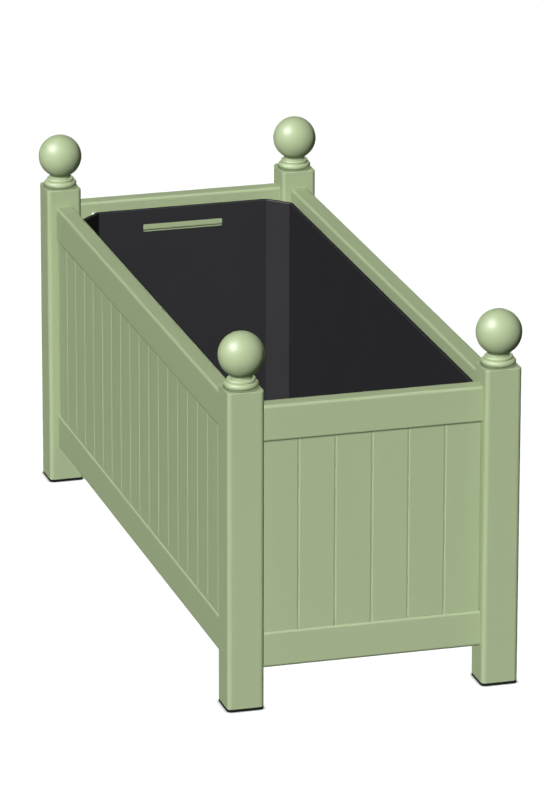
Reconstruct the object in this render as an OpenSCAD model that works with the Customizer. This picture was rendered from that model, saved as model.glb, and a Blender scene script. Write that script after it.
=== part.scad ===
// Versailles planter: a long box planter with four ball-topped corner posts,
// V-jointed boards held between rails, and a liner that lifts out.
// Millimetres. Origin at the centre of the footprint, on the floor.
// +X runs along the long side, +Y across it, +Z up. Front is the long side at -Y.

/* [Overall] */
// Length over the posts
planter_l = 1000; // [700:10:1400]
// Width over the posts
planter_w = 400; // [340:10:600]
// Height of the posts, from the floor to the top of their caps
post_h = 441; // [430:1:600]

/* [Posts] */
// Side of the square post section
post_w = 50; // [46:1:60]
// Wall of the post section
post_wall = 3; // [2:0.5:4]
// Radius of the post's upright edges
post_round = 6; // [4.5:0.5:7]
// Thickness of the plate that caps a post
cap_t = 3; // [2:0.5:6]
// Radius of the cap's top edge
cap_round = 1.5; // [0.5:0.1:1.9]
// Depth of the plug under a cap
cap_plug_h = 12; // [8:1:20]
// Thickness of the foot pad under a post
pad_t = 4; // [3:0.5:10]
// Radius of the foot pad's bottom edge
pad_round = 0.5; // [0.3:0.1:1.5]
// Depth of the foot pad's plug
pad_plug_h = 20; // [10:1:30]
// Wall of the plugs on caps and foot pads
plug_wall = 2.5; // [2:0.5:4]

/* [Rails] */
// Height of a rail
rail_h = 50; // [46:1:60]
// Thickness of a rail
rail_t = 25; // [24:0.5:30]
// Wall of the rail section
rail_wall = 2; // [1.5:0.5:2.5]
// Radius of a rail's long edges
rail_round = 4; // [2:0.5:5]
// Radius of the edges inside a rail's hollow
hollow_round = 1; // [0.5:0.1:2]
// Depth of the top rails' upper face below the tops of the posts
rail_drop = 25; // [20:1:60]
// Height of the bottom rails' lower face
bottom_rail_low = 53; // [45:1:80]

/* [Boards] */
// Width of one board, face to face
board_pitch = 50; // [40:1:75]
// Thickness of a board
board_t = 12; // [10:0.5:12]
// Depth of the board's face behind the rail's face
board_setback = 2; // [1.5:0.5:5]
// Width of the bevel along a board's outer edges
vee_w = 2; // [1:0.1:3]
// Depth of that bevel, one side of the V between two boards
vee_d = 0.7; // [0.5:0.1:3]
// Wall of the hollow board section
board_wall = 1.5; // [1.2:0.1:2]
// Thickness of the board's tongue
tongue_t = 3.6; // [3:0.1:4]
// Length of the board's tongue
tongue_l = 4; // [2:0.5:5]
// Length of board held in each rail
board_seat = 10; // [6:1:14]

/* [Finials] */
// Diameter of the ball
ball_d = 61.4; // [56:0.2:70]
// Height of the ball's centre above the post
ball_lift = 44.3; // [42:0.1:50]
// Diameter of the neck under the ball
neck_d = 29; // [24:0.5:32]
// Height of the base under the lower ring
base_h = 0.6; // [0.2:0.1:2]
// Diameter over the lower ring
ring_d = 46; // [44:0.2:49]
// Height of the lower ring
ring_h = 8.4; // [7:0.2:10]
// Diameter over the upper ring
upper_ring_d = 38.8; // [34:0.2:42]
// Height of the upper ring
upper_ring_h = 5.2; // [4:0.2:6]
// Depth that the upper ring sinks into the lower one
ring_lap = 0.9; // [0.5:0.1:1.5]
// Diameter of the finial's stud
stud_d = 8; // [6:1:10]
// Length of stud inside the finial
stud_grip = 22; // [15:1:30]
// Length of stud below its nut
stud_tail = 2; // [1:0.5:5]
// Thickness of the washer under a cap
washer_t = 1.6; // [1:0.1:2.5]
// Diameter of the washer
washer_d = 16; // [14:0.5:22]
// Width of the nut over its corners
nut_w = 15; // [13:0.2:17]
// Height of the nut
nut_h = 6.5; // [4:0.1:8]

/* [Liner] */
// Thickness of the liner's sheet
sheet_t = 2; // [1:0.5:3]
// Gap from the rim to the end rails
end_gap = 8.5; // [6:0.5:15]
// Gap from the rim to the side rails
side_gap = 5; // [4:0.5:12]
// Depth of the rim below the top rails' upper face
rim_drop = 12.6; // [5:0.1:30]
// Width of the rim, wall included
rim_w = 5.3; // [4:0.1:8]
// Height of the rim's turned-down edge
rim_h = 10; // [6:1:16]
// Distance between the two folds of a corner, along each wall
chamfer_run = 25.4; // [23:0.1:55]
// Inner radius of the liner's upright folds
fold_round = 3; // [1:0.5:6]
// Length of a lifting slot
slot_l = 118; // [80:2:150]
// Height of a lifting slot
slot_h = 11.2; // [8:0.2:30]
// Depth of a lifting slot's upper edge below the rim
slot_drop = 22.9; // [16:0.1:40]
// Radius of a lifting slot's corners
slot_round = 2; // [0.5:0.5:4]
// Diameter of a drain hole
drain_d = 12; // [6:1:20]
// Space between the two lines of drain holes
drain_span = 180; // [100:10:200]

/* [Bearers] */
// Bearers under the liner
bearer_count = 4; // [2:1:4]
// Space between a rail spigot and the nearest bearer
bearer_clear = 20; // [10:5:60]
// Width of a bearer
bearer_w = 30; // [24:1:40]
// Height of a bearer
bearer_h = 20; // [16:1:30]
// Wall of the bearer section
bearer_wall = 2; // [1.5:0.5:3]
// Height of the bearers' upper face above the bottom rails' lower face
bearer_rise = 35; // [34:1:40]
// Thickness of a cleat
cleat_t = 3; // [2:0.5:4]
// Length of a cleat's shelf
cleat_shelf = 25; // [20:1:40]
// Height of a cleat's upright leg, shelf included
cleat_leg = 13; // [12:0.5:13]
// Distance of a shelf's screw from the rail
shelf_screw_at = 15; // [12:0.5:17]

/* [Joints] */
// Length of a spigot inside a rail
spigot_l = 40; // [30:1:60]
// Wall of a spigot
spigot_wall = 2.5; // [2:0.5:3]
// Thickness of a spigot's base
spigot_base = 4; // [3:0.5:6]
// Space between a spigot's two screws
spigot_screw_span = 18; // [16:1:20]
// Distance of a locking screw from the post
lock_screw_at = 22; // [15:1:28]
// Shank diameter of the spigot and locking screws
screw_d = 4.2; // [3:0.1:5]
// Head diameter of the spigot screws
flat_head_d = 8; // [7:0.1:8.4]
// Head diameter of the locking screws
lock_head_d = 8.4; // [7:0.1:10]
// Shank diameter of the cleat screws
cleat_screw_d = 4.8; // [4:0.1:5.5]
// Head diameter of the cleat screws
cleat_head_d = 9; // [8:0.1:9]
// Height of the locking and cleat screws' heads
pan_head_h = 2.6; // [2:0.1:3.5]
// Width of the screws' hexagon sockets over their corners
socket_w = 2.5; // [2:0.1:3]
// Depth of the screws' hexagon sockets
socket_depth = 1.4; // [0.8:0.1:1.8]
// Length of a spigot screw
spigot_screw_l = 14; // [10:1:18]
// Length of a locking screw's or cleat screw's shank
short_screw_l = 9; // [7:1:12]

/* [Clearances] */
// Space round a board in its rail, a plug in its post and a spigot in its rail
slip = 0.3; // [0.2:0.05:0.5]
// Space between two boards
board_gap = 0.2; // [0.1:0.05:0.4]
// Space round a screw or stud
screw_slip = 0.05; // [0.02:0.01:0.15]
// Space under the liner, and at the ends of boards and bearers
seat_gap = 0.3; // [0.2:0.05:0.5]

/* [Hidden] */
$fn = 64;
eps = 0.01;

// Corners as [name, side of X, side of Y], and sides as [name, side]
CORNERS = [["front_left", -1, -1], ["front_right", 1, -1], ["back_left", -1, 1], ["back_right", 1, 1]];
END_SIDES = [["left", -1], ["right", 1]];
LONG_SIDES = [["front", -1], ["back", 1]];
LEVELS = ["top", "bottom"];

// Spans between the posts, and the boards that fill them
span_l = planter_l - 2*post_w;
span_w = planter_w - 2*post_w;
long_boards = round(span_l/board_pitch);
end_boards = round(span_w/board_pitch);
long_pitch = span_l/long_boards;
end_pitch = span_w/end_boards;

// Colours
sage = "#9cab85";
black = "#2b2b2d";
zinc = "#b9bdc0";

// Heights
cap_low = post_h - cap_t;
top_rail_top = post_h - rail_drop;
top_rail_low = top_rail_top - rail_h;
bottom_rail_top = bottom_rail_low + rail_h;
board_low = bottom_rail_top - board_seat;
board_top = top_rail_low + board_seat - seat_gap;
bearer_top = bottom_rail_low + bearer_rise;
bearer_low = bearer_top - bearer_h;
liner_low = bearer_top + seat_gap;
rim_top = top_rail_top - rim_drop;

// Rails stand on the posts' centre lines
post_at = [planter_l/2 - post_w/2, planter_w/2 - post_w/2];
rail_in = post_w/2 + rail_t/2;            // outer face of a post to the inner face of a rail
rail_out = post_w/2 - rail_t/2;           // outer face of a post to the outer face of a rail

// A rail's hollow, measured from the edge that holds the boards
groove_d = board_seat;
hollow_low = groove_d + rail_wall;
hollow_h = rail_h - hollow_low - rail_wall;
hollow_t = rail_t - 2*rail_wall;
hollow_mid = hollow_low + hollow_h/2;
top_joint_z = top_rail_low + hollow_mid;
bottom_joint_z = bottom_rail_top - hollow_mid;

// Outside of a spigot, across its rail's height and thickness
spigot_x = hollow_h - 2*slip;
spigot_y = hollow_t - 2*slip;

// Bearers and their cleats stand against the inner faces of the long bottom rails
wall_y = planter_w/2 - rail_in;
bearer_l = 2*(wall_y - seat_gap);
bearer_inset = spigot_l + bearer_clear + bearer_w/2;
bearer_step = (span_l - 2*bearer_inset)/(bearer_count - 1);
shelf_screw_y = wall_y - shelf_screw_at;
leg_screw_z = bearer_low - cleat_t - (cleat_leg - cleat_t)/2;
leg_screw_span = bearer_w/2;

// Inner faces of the liner's end and side walls
liner_a = planter_l/2 - rail_in - end_gap - rim_w;
liner_b = wall_y - side_gap - rim_w;

// Flat chamfers lie this far inside their folds' outer faces, so that the two always cross
fold_bite = 0.002;

// Rows of drain holes: midway between two bearers, and between the end bearers and the liner's ends
drain_end = (liner_a + span_l/2 - bearer_inset + bearer_w/2)/2;
drain_rows = concat([-drain_end, drain_end], [for (i = [1:bearer_count - 1]) bearer_x(i) - bearer_step/2]);

// Height of the spigot screws' 90 degree heads
flat_head_h = (flat_head_d - screw_d)/2;

// Holes round the screws and the stud
screw_hole_d = screw_d + 2*screw_slip;
cleat_hole_d = cleat_screw_d + 2*screw_slip;
stud_hole_d = stud_d + 2*screw_slip;

// ---------- plain shapes ----------

// Rectangle centred on the origin with round corners
module round_rect(x, y, r) {
    square([x - 2*r, y], center = true);
    square([x, y - 2*r], center = true);
    for (sx = [-1, 1], sy = [-1, 1])
        translate([sx*(x/2 - r), sy*(y/2 - r)]) circle(r);
}

// Square prism from z = 0 to h, round upright edges, and a fillet round its top edge
module filleted_block(w, r, h, fillet) {
    profile_w = w - 2*r;
    for (turn = [0, 90])
        rotate([90, 0, turn])
            translate([0, 0, -profile_w/2])
                linear_extrude(profile_w) fillet_profile(w, h, fillet);
    for (sx = [-1, 1], sy = [-1, 1])
        translate([sx*profile_w/2, sy*profile_w/2, 0])
            rotate_extrude() intersection() {
                fillet_profile(2*r, h, fillet);
                square([r, h]);
            }
}

// Upright rectangle from y = 0 to h whose two upper corners are round
module fillet_profile(w, h, fillet) {
    translate([-w/2, 0]) square([w, h - fillet]);
    translate([-w/2 + fillet, 0]) square([w - 2*fillet, h]);
    for (s = [-1, 1]) translate([s*(w/2 - fillet), h - fillet]) circle(fillet);
}

// Square ring that plugs into a post, from z = 0 to h
module post_plug(h) {
    side = post_w - 2*post_wall - 2*slip;
    round_in = post_round - post_wall;
    linear_extrude(h) difference() {
        round_rect(side, side, round_in);
        square(side - 2*plug_wall, center = true);
    }
}

// Screw along +Z: head below z = 0 and shank above it
module pan_screw(head_d, shank_d, shank_l) {
    difference() {
        union() {
            translate([0, 0, -pan_head_h]) cylinder(d = head_d, h = pan_head_h);
            cylinder(d = shank_d, h = shank_l);
        }
        translate([0, 0, -pan_head_h - eps]) cylinder(d = socket_w, h = socket_depth + eps, $fn = 6);
    }
}

// Screw along +Z whose flat head starts at z = 0
module countersunk_screw() {
    difference() {
        union() {
            cylinder(d1 = flat_head_d, d2 = screw_d, h = flat_head_h);
            cylinder(d = screw_d, h = spigot_screw_l);
        }
        translate([0, 0, -eps]) cylinder(d = socket_w, h = socket_depth + eps, $fn = 6);
    }
}

// ---------- places ----------

// Children on the centre line of corner c's post
module at_post(c) {
    translate([c[1]*post_at[0], c[2]*post_at[1], 0]) children();
}

// Children at a post's face: local +Z leaves the post along the rail, local +Y faces into the planter
module at_rail_end(c, along_x, z) {
    face = along_x ? [post_w/2, 0] : [0, post_w/2];
    translate([c[1]*(post_at[0] - face[0]), c[2]*(post_at[1] - face[1]), z])
        multmatrix(along_x
            ? [[0, 0, -c[1], 0], [0, -c[2], 0, 0], [1, 0, 0, 0]]
            : [[0, -c[1], 0, 0], [0, 0, -c[2], 0], [1, 0, 0, 0]])
            children();
}

// Children at every rail end of one level
module at_rail_ends(z) {
    for (c = CORNERS, along_x = [true, false]) at_rail_end(c, along_x, z) children();
}

// Children in the wall of a long side: local +Y faces into the planter, x along it
module at_long_side(side) {
    translate([0, side*planter_w/2, 0]) mirror([0, side > 0 ? 1 : 0, 0]) children();
}

// Children in the wall of a short end, turned so that local x runs along the end
module at_end_side(side) {
    rotate([0, 0, side*90]) translate([0, -planter_l/2, 0]) children();
}

// ---------- posts ----------

module post(c) {
    inner = post_w - 2*post_wall;
    color(sage) at_post(c) difference() {
        translate([0, 0, pad_t]) linear_extrude(cap_low - pad_t) difference() {
            round_rect(post_w, post_w, post_round);
            round_rect(inner, inner, post_round - post_wall);
        }
        for (z = [top_joint_z, bottom_joint_z], s = [-1, 1]) translate([0, 0, z + s*spigot_screw_span/2]) {
            rotate([0, -c[1]*90, 0]) cylinder(d = screw_hole_d, h = post_w);
            rotate([c[2]*90, 0, 0]) cylinder(d = screw_hole_d, h = post_w);
        }
    }
}

module post_cap(c) {
    color(sage) at_post(c) difference() {
        union() {
            translate([0, 0, cap_low]) filleted_block(post_w, post_round, cap_t, cap_round);
            translate([0, 0, cap_low - cap_plug_h]) post_plug(cap_plug_h);
        }
        translate([0, 0, cap_low - eps]) cylinder(d = stud_hole_d, h = cap_t + 2*eps);
    }
}

module foot_pad(c) {
    color(black) at_post(c) union() {
        translate([0, 0, pad_t]) mirror([0, 0, 1]) filleted_block(post_w, post_round, pad_t, pad_round);
        translate([0, 0, pad_t]) post_plug(pad_plug_h);
    }
}

// ---------- finials ----------

// Half section of the finial above the post's top
module finial_profile() {
    ring_r = ring_h/2;
    ring_mid = ring_d/2 - ring_r;
    upper_r = upper_ring_h/2;
    upper_mid = upper_ring_d/2 - upper_r;
    upper_low = base_h + ring_h - ring_lap;
    intersection() {
        square([ball_d, ball_lift + ball_d]);
        union() {
            translate([0, ball_lift]) circle(d = ball_d);
            square([neck_d/2, ball_lift - ball_d/4]);
            square([ring_mid, base_h + ring_h]);
            translate([ring_mid, base_h + ring_r]) circle(ring_r);
            translate([0, upper_low]) square([upper_mid, upper_ring_h]);
            translate([upper_mid, upper_low + upper_r]) circle(upper_r);
        }
    }
}

module finial(c) {
    color(sage) at_post(c) translate([0, 0, post_h]) difference() {
        rotate_extrude() finial_profile();
        translate([0, 0, -eps]) cylinder(d = stud_hole_d, h = stud_grip + seat_gap + eps);
    }
}

module finial_studs() {
    length = stud_grip + cap_t + washer_t + nut_h + stud_tail;
    color(zinc) for (c = CORNERS)
        at_post(c) translate([0, 0, post_h + stud_grip - length]) cylinder(d = stud_d, h = length);
}

module finial_washers() {
    color(zinc) for (c = CORNERS) at_post(c) translate([0, 0, cap_low - washer_t]) difference() {
        cylinder(d = washer_d, h = washer_t);
        translate([0, 0, -eps]) cylinder(d = stud_hole_d, h = washer_t + 2*eps);
    }
}

module finial_nuts() {
    color(zinc) for (c = CORNERS) at_post(c) translate([0, 0, cap_low - washer_t - nut_h]) difference() {
        cylinder(d = nut_w, h = nut_h, $fn = 6);
        translate([0, 0, -eps]) cylinder(d = stud_hole_d, h = nut_h + 2*eps);
    }
}

// ---------- rails ----------

// Section of a rail: x from its outer face, y from the edge that holds the boards
module rail_profile() {
    difference() {
        translate([rail_t/2, rail_h/2]) round_rect(rail_t, rail_h, rail_round);
        translate([rail_t/2, hollow_mid]) round_rect(hollow_t, hollow_h, hollow_round);
        translate([board_setback - slip, -eps]) square([board_t + 2*slip, groove_d + eps]);
    }
}

// Rail of length l along x, outer face towards -Y at y = 0, with its locking screw holes
module rail(l) {
    difference() {
        rotate([90, 0, 90]) translate([0, 0, -l/2]) linear_extrude(l) rail_profile();
        for (s = [-1, 1])
            translate([s*(l/2 - lock_screw_at), rail_t + eps, hollow_mid])
                rotate([90, 0, 0]) cylinder(d = screw_hole_d, h = rail_wall + 2*eps);
    }
}

// A top rail has its groove below, a bottom rail above
module rail_at_level(l, level) {
    translate([0, rail_out, level == "top" ? top_rail_low : bottom_rail_top])
        mirror([0, 0, level == "top" ? 0 : 1]) rail(l);
}

module long_rail(level, side) {
    color(sage) difference() {
        at_long_side(side) rail_at_level(span_l, level);
        if (level == "bottom") cleat_screw_holes();
    }
}

module end_rail(level, side) {
    color(sage) at_end_side(side) rail_at_level(span_w, level);
}

// ---------- boards ----------

// Section of a board: x along the wall from its left edge, y from its outer face
module board_profile(pitch, tongue) {
    w = pitch - board_gap;
    tongue_y = (board_t - tongue_t)/2;
    slot_w = tongue_t + 2*slip;
    slot_deep = tongue_l + slip;
    cell_x = slot_deep + board_wall;
    cell_w = (w - vee_w - cell_x - board_wall)/2;
    difference() {
        union() {
            polygon([[vee_w, 0], [w - vee_w, 0], [w, vee_d], [w, board_t], [0, board_t], [0, vee_d]]);
            if (tongue) translate([w - eps, tongue_y]) square([tongue_l + eps, tongue_t]);
        }
        translate([-eps, (board_t - slot_w)/2]) square([slot_deep + eps, slot_w]);
        for (i = [0, 1])
            translate([cell_x + i*(cell_w + board_wall), board_wall])
                square([cell_w, board_t - 2*board_wall]);
    }
}

// Board i of n in a wall whose outer face of the posts is at y = 0
module board(i, n, pitch) {
    translate([(i - n/2)*pitch + board_gap/2, rail_out + board_setback, board_low])
        linear_extrude(board_top - board_low) board_profile(pitch, i < n - 1);
}

module end_board(side, i) {
    color(sage) at_end_side(side) board(i, end_boards, end_pitch);
}

module long_boards_of(side) {
    color(sage) at_long_side(side) for (i = [0:long_boards - 1]) board(i, long_boards, long_pitch);
}

// ---------- rail joints ----------

// Cup that is screwed to a post: base on the post, open end into the rail
module spigot() {
    difference() {
        linear_extrude(spigot_l) square([spigot_x, spigot_y], center = true);
        translate([0, 0, spigot_base]) linear_extrude(spigot_l)
            square([spigot_x - 2*spigot_wall, spigot_y - 2*spigot_wall], center = true);
        for (s = [-1, 1]) translate([s*spigot_screw_span/2, 0, 0]) {
            translate([0, 0, -eps]) cylinder(d = screw_hole_d, h = spigot_base + 2*eps);
            translate([0, 0, spigot_base - flat_head_h])
                cylinder(d1 = screw_hole_d, d2 = flat_head_d + 2*screw_slip, h = flat_head_h + eps);
        }
        translate([0, spigot_y/2 - spigot_wall - eps, lock_screw_at])
            rotate([-90, 0, 0]) cylinder(d = screw_hole_d, h = spigot_wall + 2*eps);
    }
}

module rail_spigots(z) {
    color(zinc) at_rail_ends(z) spigot();
}

module spigot_screws() {
    color(zinc) for (z = [top_joint_z, bottom_joint_z]) at_rail_ends(z) for (s = [-1, 1])
        translate([s*spigot_screw_span/2, 0, spigot_base]) mirror([0, 0, 1]) countersunk_screw();
}

module rail_lock_screws() {
    color(zinc) for (z = [top_joint_z, bottom_joint_z]) at_rail_ends(z)
        translate([0, rail_t/2, lock_screw_at]) rotate([90, 0, 0])
            pan_screw(lock_head_d, screw_d, short_screw_l);
}

// ---------- bearers ----------

function bearer_x(i) = -span_l/2 + bearer_inset + i*bearer_step;

module bearer(i) {
    color(zinc) translate([bearer_x(i), 0, bearer_low]) difference() {
        translate([0, bearer_l/2, 0]) rotate([90, 0, 0]) linear_extrude(bearer_l) difference() {
            translate([0, bearer_h/2]) square([bearer_w, bearer_h], center = true);
            translate([0, bearer_h/2])
                square([bearer_w - 2*bearer_wall, bearer_h - 2*bearer_wall], center = true);
        }
        for (s = [-1, 1]) translate([0, s*shelf_screw_y, -eps])
            cylinder(d = cleat_hole_d, h = bearer_wall + 2*eps);
    }
}

// Children at the two ends of each bearer, with +Y facing out of the planter
module at_bearer_ends() {
    for (i = [0:bearer_count - 1], s = [-1, 1])
        translate([bearer_x(i), 0, 0]) mirror([0, s > 0 ? 0 : 1, 0]) children();
}

module bearer_cleats() {
    color(zinc) at_bearer_ends() difference() {
        union() {
            translate([-bearer_w/2, wall_y - cleat_shelf, bearer_low - cleat_t])
                cube([bearer_w, cleat_shelf, cleat_t]);
            translate([-bearer_w/2, wall_y - cleat_t, bearer_low - cleat_leg])
                cube([bearer_w, cleat_t, cleat_leg]);
        }
        translate([0, shelf_screw_y, bearer_low - cleat_t - eps])
            cylinder(d = cleat_hole_d, h = cleat_t + 2*eps);
        for (s = [-1, 1]) translate([s*leg_screw_span/2, wall_y - cleat_t - eps, leg_screw_z])
            rotate([-90, 0, 0]) cylinder(d = cleat_hole_d, h = cleat_t + 2*eps);
    }
}

module cleat_screws() {
    color(zinc) at_bearer_ends() {
        translate([0, shelf_screw_y, bearer_low - cleat_t])
            pan_screw(cleat_head_d, cleat_screw_d, short_screw_l);
        for (s = [-1, 1]) translate([s*leg_screw_span/2, wall_y - cleat_t, leg_screw_z])
            rotate([-90, 0, 0]) pan_screw(cleat_head_d, cleat_screw_d, short_screw_l);
    }
}

module cleat_screw_holes() {
    at_bearer_ends() for (s = [-1, 1])
        translate([s*leg_screw_span/2, wall_y - eps, leg_screw_z])
            rotate([-90, 0, 0]) cylinder(d = cleat_hole_d, h = rail_wall + 2*eps);
}

// ---------- liner ----------

// Outline of the liner's walls, grown outwards by grow: the folds keep their centres
module liner_outline(grow) {
    r = fold_round + grow;
    near_end = [liner_a - fold_round, liner_b - fold_round - chamfer_run];
    near_side = [liner_a - fold_round - chamfer_run, liner_b - fold_round];
    diagonal = (r - fold_bite)/sqrt(2);
    quarter = [near_end + [r, 0], near_end + [diagonal, diagonal],
               near_side + [diagonal, diagonal], near_side + [0, r]];
    upper = concat(quarter, [for (i = [3:-1:0]) [-quarter[i][0], quarter[i][1]]]);
    polygon(concat(upper, [for (i = [7:-1:0]) [upper[i][0], -upper[i][1]]]));
    for (p = [near_end, near_side], sx = [-1, 1], sy = [-1, 1]) translate([sx*p[0], sy*p[1]]) circle(r);
}

module liner_ring(outer, inner, low, high) {
    translate([0, 0, low]) linear_extrude(high - low) difference() {
        liner_outline(outer);
        liner_outline(inner);
    }
}

module liner() {
    slot_z = rim_top - slot_drop - slot_h/2;
    color(black) difference() {
        union() {
            translate([0, 0, liner_low]) linear_extrude(sheet_t) liner_outline(sheet_t);
            liner_ring(sheet_t, 0, liner_low, rim_top);
            liner_ring(rim_w, 0, rim_top - sheet_t, rim_top);
            liner_ring(rim_w, rim_w - sheet_t/2, rim_top - rim_h, rim_top);
        }
        for (s = [-1, 1]) translate([s*(liner_a + sheet_t/2), 0, slot_z]) rotate([90, 0, 90])
            linear_extrude(2*sheet_t, center = true) round_rect(slot_l, slot_h, slot_round);
        for (x = drain_rows, s = [-1, 1])
            translate([x, s*drain_span/2, liner_low - eps])
                cylinder(d = drain_d, h = sheet_t + 2*eps);
    }
}

// ---------- nodes ----------

for (c = CORNERS) post(c);
for (c = CORNERS) post_cap(c);
for (c = CORNERS) finial(c);
for (c = CORNERS) foot_pad(c);
for (l = LEVELS, s = LONG_SIDES) long_rail(l, s[1]);
for (l = LEVELS, s = END_SIDES) end_rail(l, s[1]);
for (s = END_SIDES, i = [1:end_boards])
    end_board(s[1], i - 1);
for (s = LONG_SIDES) long_boards_of(s[1]);
for (i = [1:bearer_count]) bearer(i - 1);
bearer_cleats();
cleat_screws();
rail_spigots(top_joint_z);  // top_rail_spigots
rail_spigots(bottom_joint_z);  // bottom_rail_spigots
spigot_screws();
rail_lock_screws();
finial_studs();
finial_washers();
finial_nuts();
liner();
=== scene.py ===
"""Looks of the versailles planter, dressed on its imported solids.

Posts, caps, foot pads, rails, bearers and the joints inside keep their solids and only get their
finishes here. The ball finials, the V-jointed boards, the folded liner and the screws that show are
surfaces worked out with numpy. Sizes are in millimetres unless a name says otherwise, in the frame
of the solids: +X along the planter, +Y across it, +Z up, origin on the floor under its centre.
"""

import logging
import math
from collections.abc import Mapping, Sequence
from dataclasses import dataclass
from enum import Enum
from functools import cached_property

import bpy
import numpy as np
from mathutils import Matrix, Vector
from mathutils.geometry import tessellate_polygon


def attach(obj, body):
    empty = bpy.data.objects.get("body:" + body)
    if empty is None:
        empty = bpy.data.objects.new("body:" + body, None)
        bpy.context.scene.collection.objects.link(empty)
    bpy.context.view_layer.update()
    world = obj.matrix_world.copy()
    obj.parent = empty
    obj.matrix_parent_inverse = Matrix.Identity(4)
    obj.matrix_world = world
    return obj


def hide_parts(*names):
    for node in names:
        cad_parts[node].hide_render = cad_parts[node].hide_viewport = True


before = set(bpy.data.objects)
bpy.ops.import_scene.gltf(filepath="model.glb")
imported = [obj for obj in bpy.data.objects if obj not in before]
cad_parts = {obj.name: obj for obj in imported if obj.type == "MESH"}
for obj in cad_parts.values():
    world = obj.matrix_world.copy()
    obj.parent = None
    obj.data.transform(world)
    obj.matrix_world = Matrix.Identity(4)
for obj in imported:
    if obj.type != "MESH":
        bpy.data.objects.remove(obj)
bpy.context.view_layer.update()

MM = 0.001
WELD = 1e-4
SAME_NORMAL = 0.05
SHARP_EDGE = math.radians(40)
LEAST_LENGTH = 1e-9
FULL_TURN = 2 * math.pi
QUARTER_TURN = math.pi / 2

Colour = tuple[float, float, float]
Triple = tuple[float, float, float]
Point = Sequence[float]

X: Triple = (1, 0, 0)
Y: Triple = (0, 1, 0)
Z: Triple = (0, 0, 1)

log = logging.getLogger("planter")


# ---------------------------------------------------------------- plane curves


@dataclass(frozen=True)
class Line:
    """A plane curve with, at each point, the unit normal that points out of the material.

    The material lies on the left of the direction of travel.
    """

    points: np.ndarray
    normals: np.ndarray

    def moved(self, out: float) -> np.ndarray:
        """Returns the points, each moved by `out` along its normal."""
        return self.points + out * self.normals

    def shifted(self, x: float) -> "Line":
        """Returns the same curve, moved along x."""
        return Line(self.points + np.array([x, 0]), self.normals)

    def thinned(self, same_normal: float) -> "Line":
        """Leaves out each point that repeats the one before.

        Args:
            same_normal: Largest difference between normals that are taken as one.

        Returns:
            The curve that is left.
        """
        moved = np.abs(np.diff(self.points, axis=0)).max(1) > WELD
        turned = np.abs(np.diff(self.normals, axis=0)).max(1) > same_normal
        keep = np.concatenate([[True], moved | turned])
        return Line(self.points[keep], self.normals[keep])


def full_turn(steps: int) -> np.ndarray:
    """Returns the angles of even steps round a circle."""
    return np.arange(steps) * FULL_TURN / steps


def rays(angle: np.ndarray) -> np.ndarray:
    """Returns (cos a, sin a) for each angle a."""
    return np.stack([np.cos(angle), np.sin(angle)], -1)


def rounded(
    corners: Sequence[Point], radii: float | Point, closed: bool = True, steps: int = 4
) -> Line:
    """Rounds a polygon's corners with arcs.

    A corner that turns by t becomes an arc of radius r whose ends lie r tan(t / 2) before and after
    it. Its centre is r inside the two edges where the corner is convex, and r outside where it is
    hollow, and the normal turns evenly from the first edge's to the second's.

    Args:
        corners: The polygon's corners, with the material on the left.
        radii: One radius for all corners, or one for each.
        closed: False for a curve with two ends, whose radii are taken as 0.
        steps: Straight pieces in each arc.

    Returns:
        The rounded curve.
    """
    corner = np.asarray(corners, float)
    radius = np.full(len(corner), radii, float)
    ahead = np.roll(corner, -1, 0) - corner
    ahead /= np.linalg.norm(ahead, axis=1)[:, None]
    behind = np.roll(ahead, 1, 0)
    if not closed:
        behind[0], ahead[-1] = ahead[0], behind[-1]
        radius[[0, -1]] = 0
    cross = behind[:, 0] * ahead[:, 1] - behind[:, 1] * ahead[:, 0]
    turn = np.arctan2(cross, (behind * ahead).sum(1))
    bend = np.where(turn < 0, -1.0, 1.0) * radius
    first = np.stack([behind[:, 1], -behind[:, 0]], 1)
    reach = radius * np.tan(np.abs(turn) / 2)
    centre = corner - reach[:, None] * behind - bend[:, None] * first
    start = np.arctan2(first[:, 1], first[:, 0])[:, None]
    normals = rays(start + turn[:, None] * np.linspace(0, 1, steps + 1))
    points = centre[:, None] + bend[:, None, None] * normals
    return Line(points.reshape(-1, 2), normals.reshape(-1, 2)).thinned(WELD)


def arc(
    centre: Point, radius: float, start: float, end: float, steps: int, hollow: bool = False
) -> Line:
    """Draws a circle's arc: centre + radius (cos a, sin a), a running evenly from start to end.

    Args:
        centre: The circle's centre.
        radius: Its radius.
        start: First angle, in radians.
        end: Last angle, in radians.
        steps: Straight pieces in the arc.
        hollow: True where the material is outside the circle.

    Returns:
        The arc, whose normals point at the centre where it is hollow.
    """
    ray = rays(np.linspace(start, end, steps + 1))
    return Line(np.asarray(centre, float) + radius * ray, -ray if hollow else ray)


def joined(*lines: Line) -> Line:
    """Puts curves one after the other.

    Args:
        lines: The curves, each of which starts where the one before ends.

    Returns:
        One curve, without a point that repeats the one before.
    """
    points = np.concatenate([line.points for line in lines])
    normals = np.concatenate([line.normals for line in lines])
    return Line(points, normals).thinned(SAME_NORMAL)


def angle_to(origin: Point, target: Point) -> float:
    """Returns the angle of the direction from one point to another."""
    return math.atan2(target[1] - origin[1], target[0] - origin[0])


# ---------------------------------------------------------------- surfaces


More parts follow.
